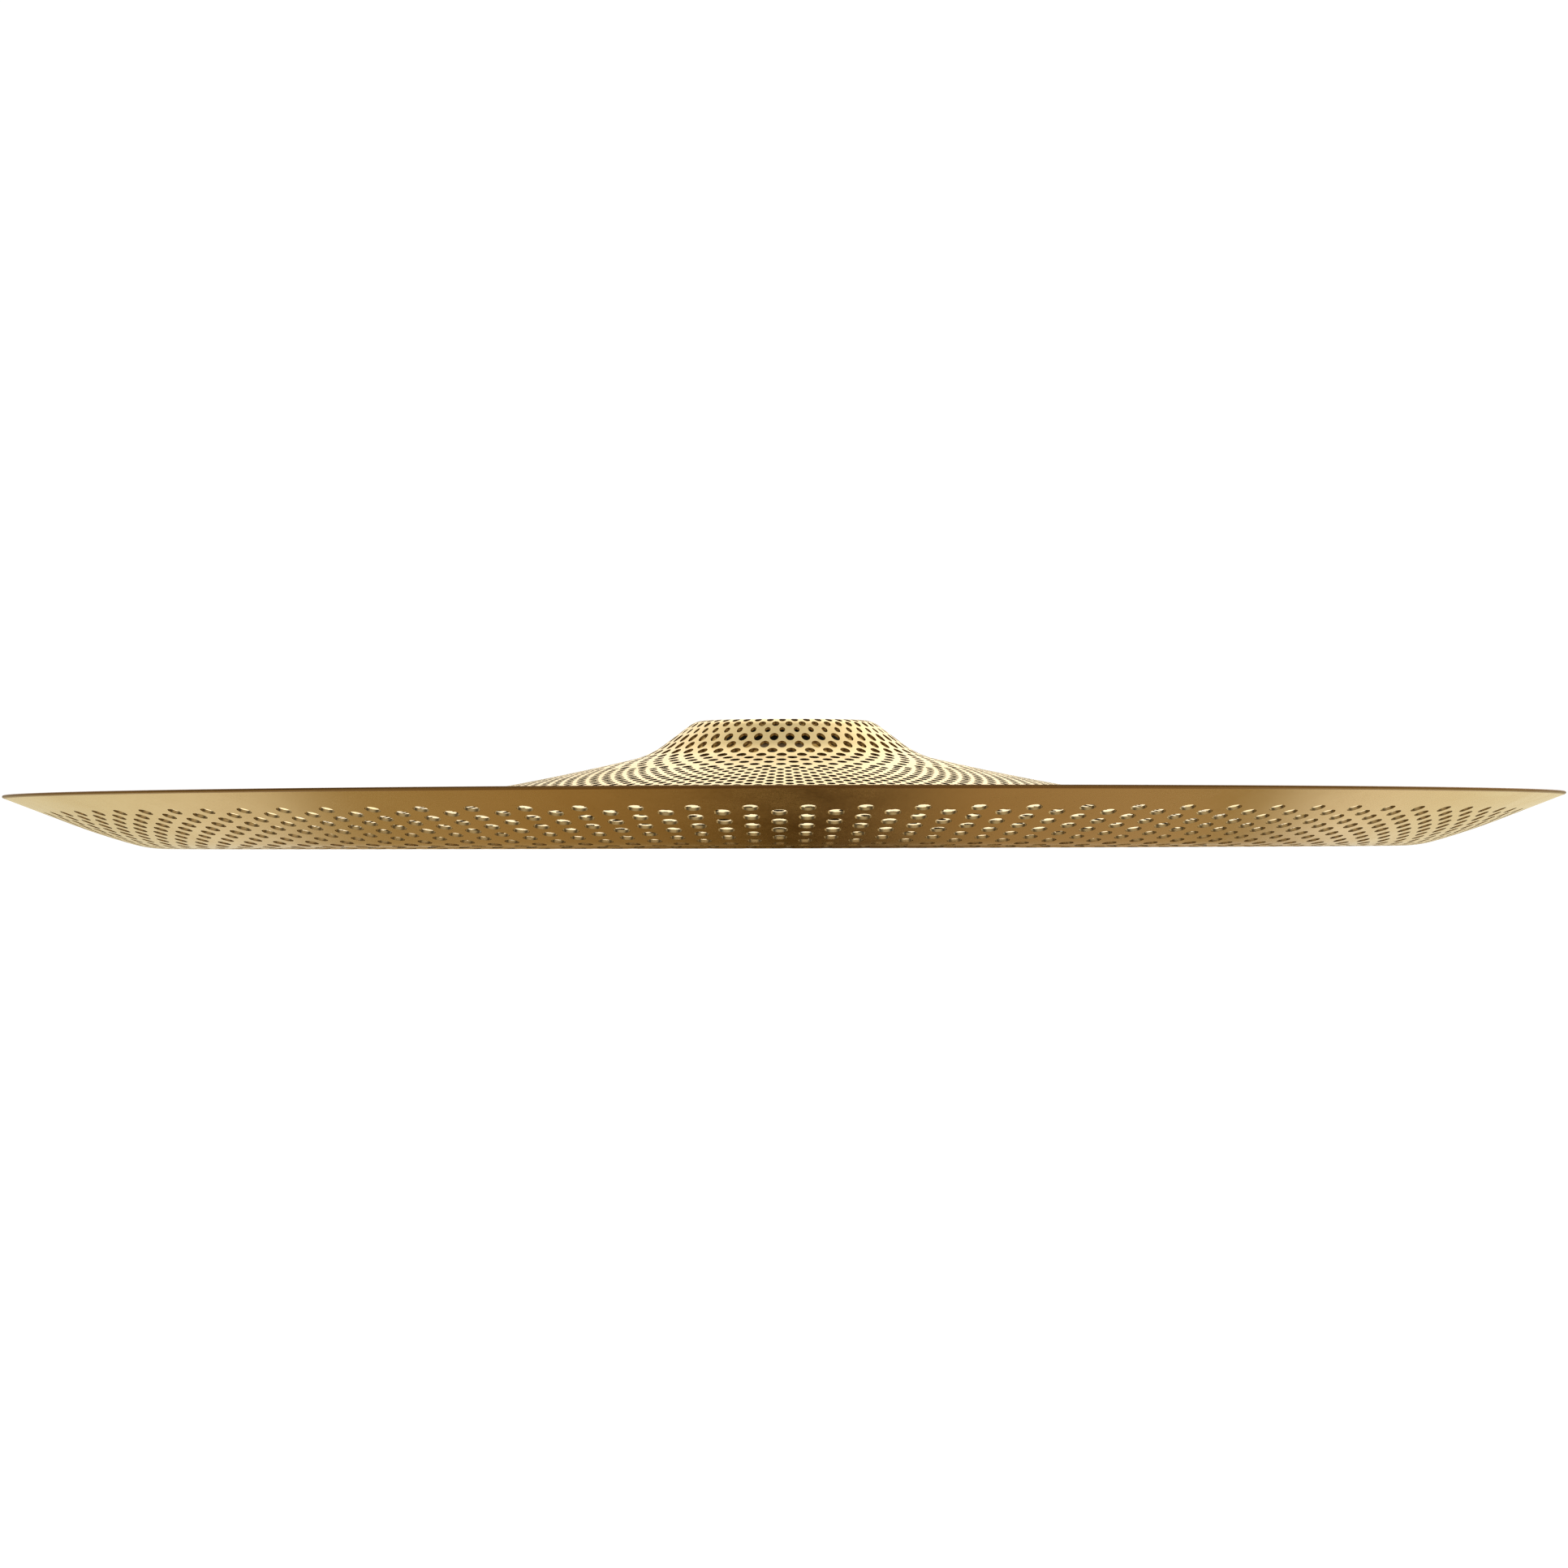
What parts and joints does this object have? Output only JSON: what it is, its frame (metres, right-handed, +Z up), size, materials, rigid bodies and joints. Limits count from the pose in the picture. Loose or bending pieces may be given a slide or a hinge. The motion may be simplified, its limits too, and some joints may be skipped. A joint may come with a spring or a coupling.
{
  "type": "china cymbal",
  "caption": "Thin perforated bronze china cymbal with a flat-topped bell, shallow bow and turned-up flange, on a small collar, sleeve and domed washer.",
  "frame": {"origin": "on the cymbal's axis, level with the lowest point of its fold", "axes": "+Z up along the cymbal's axis, out of the top of the bell"},
  "size_m": [0.4572, 0.4572, 0.0373],
  "materials": {
    "bronze": "satin, blasted, with a fine grain",
    "washer_rubber": "matte black",
    "sleeve_nylon": "brown moulded nylon",
    "collar_steel": "turned, dull"
  },
  "bodies": {
    "seat_post": {"seat_collar": "collar_steel", "seat_sleeve": "sleeve_nylon"},
    "seat_pad": {"seat_washer": "washer_rubber"},
    "cymbal": {"cymbal": "bronze"}
  },
  "joints": [
    {"name": "cymbal_spin", "type": "hinge", "parent": "seat_post", "child": "seat_pad", "pos_m": [0, 0, 0.0308], "axis": [0, 0, 1], "continuous": true},
    {"name": "cymbal_rock", "type": "hinge", "parent": "seat_pad", "child": "cymbal", "pos_m": [0, 0, 0.036], "axis": [1, 0, 0], "range_deg": [-10, 10]}
  ]
}
